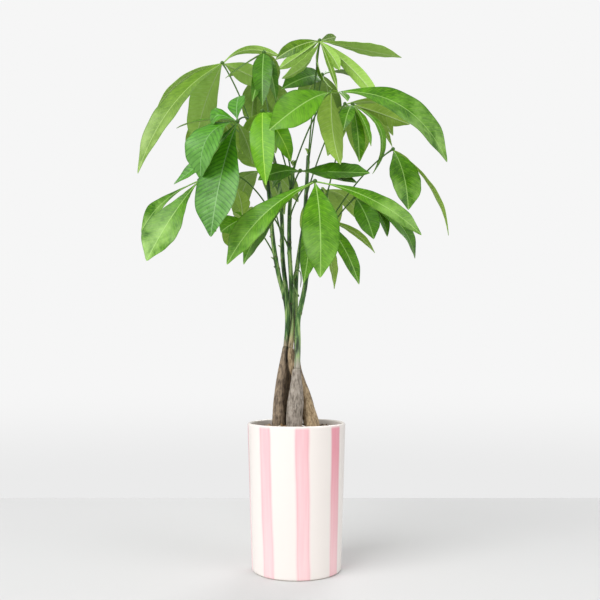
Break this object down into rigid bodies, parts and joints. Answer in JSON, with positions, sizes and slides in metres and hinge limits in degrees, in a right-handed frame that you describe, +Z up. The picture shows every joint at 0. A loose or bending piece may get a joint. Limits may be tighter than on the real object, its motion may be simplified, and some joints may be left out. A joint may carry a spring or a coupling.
{
  "type": "potted money tree",
  "caption": "Young braided money tree with palmate leaves on green stems, standing in the soil of a tall glazed pot with painted stripes.",
  "frame": {"origin": "centre of the pot's flat underside", "axes": "+Z up along the pot's axis, -Y towards the front of the plant as pictured, +X to the viewer's right"},
  "size_m": [0.417, 0.338, 0.7287],
  "materials": {
    "glaze": "gloss",
    "potting_mix": "matte",
    "bark": "matte",
    "green_stem": "satin",
    "leaf": "satin",
    "young_leaf": "satin"
  },
  "bodies": {
    "root": {"pot": "glaze", "soil": "potting_mix", "trunk_left": "bark", "stem_left": "green_stem", "trunk_middle": "bark", "stem_middle": "green_stem", "trunk_crossing": "bark", "stem_crossing": "green_stem", "trunk_backLeft": "bark", "stem_backLeft": "green_stem", "trunk_backRight": "bark", "stem_backRight": "green_stem", "leaf_upper_left": "leaf", "leaf_young_top": "young_leaf", "leaf_left_front": "leaf", "leaf_young_front": "young_leaf", "leaf_top": "leaf", "leaf_top_back": "leaf", "leaf_upper_right": "leaf", "leaf_right_hanging": "leaf", "leaf_far_right": "leaf", "leaf_front": "leaf", "leaf_front_upper": "leaf", "leaf_right_low": "leaf", "leaf_right_lowest": "leaf", "leaf_left_low": "leaf", "leaf_left_inner": "leaf", "leaf_back_left": "leaf", "leaf_back_right": "leaf", "leaf_back_centre": "leaf", "leaf_back_low": "leaf", "leaf_back_top": "leaf"}
  },
  "joints": []
}
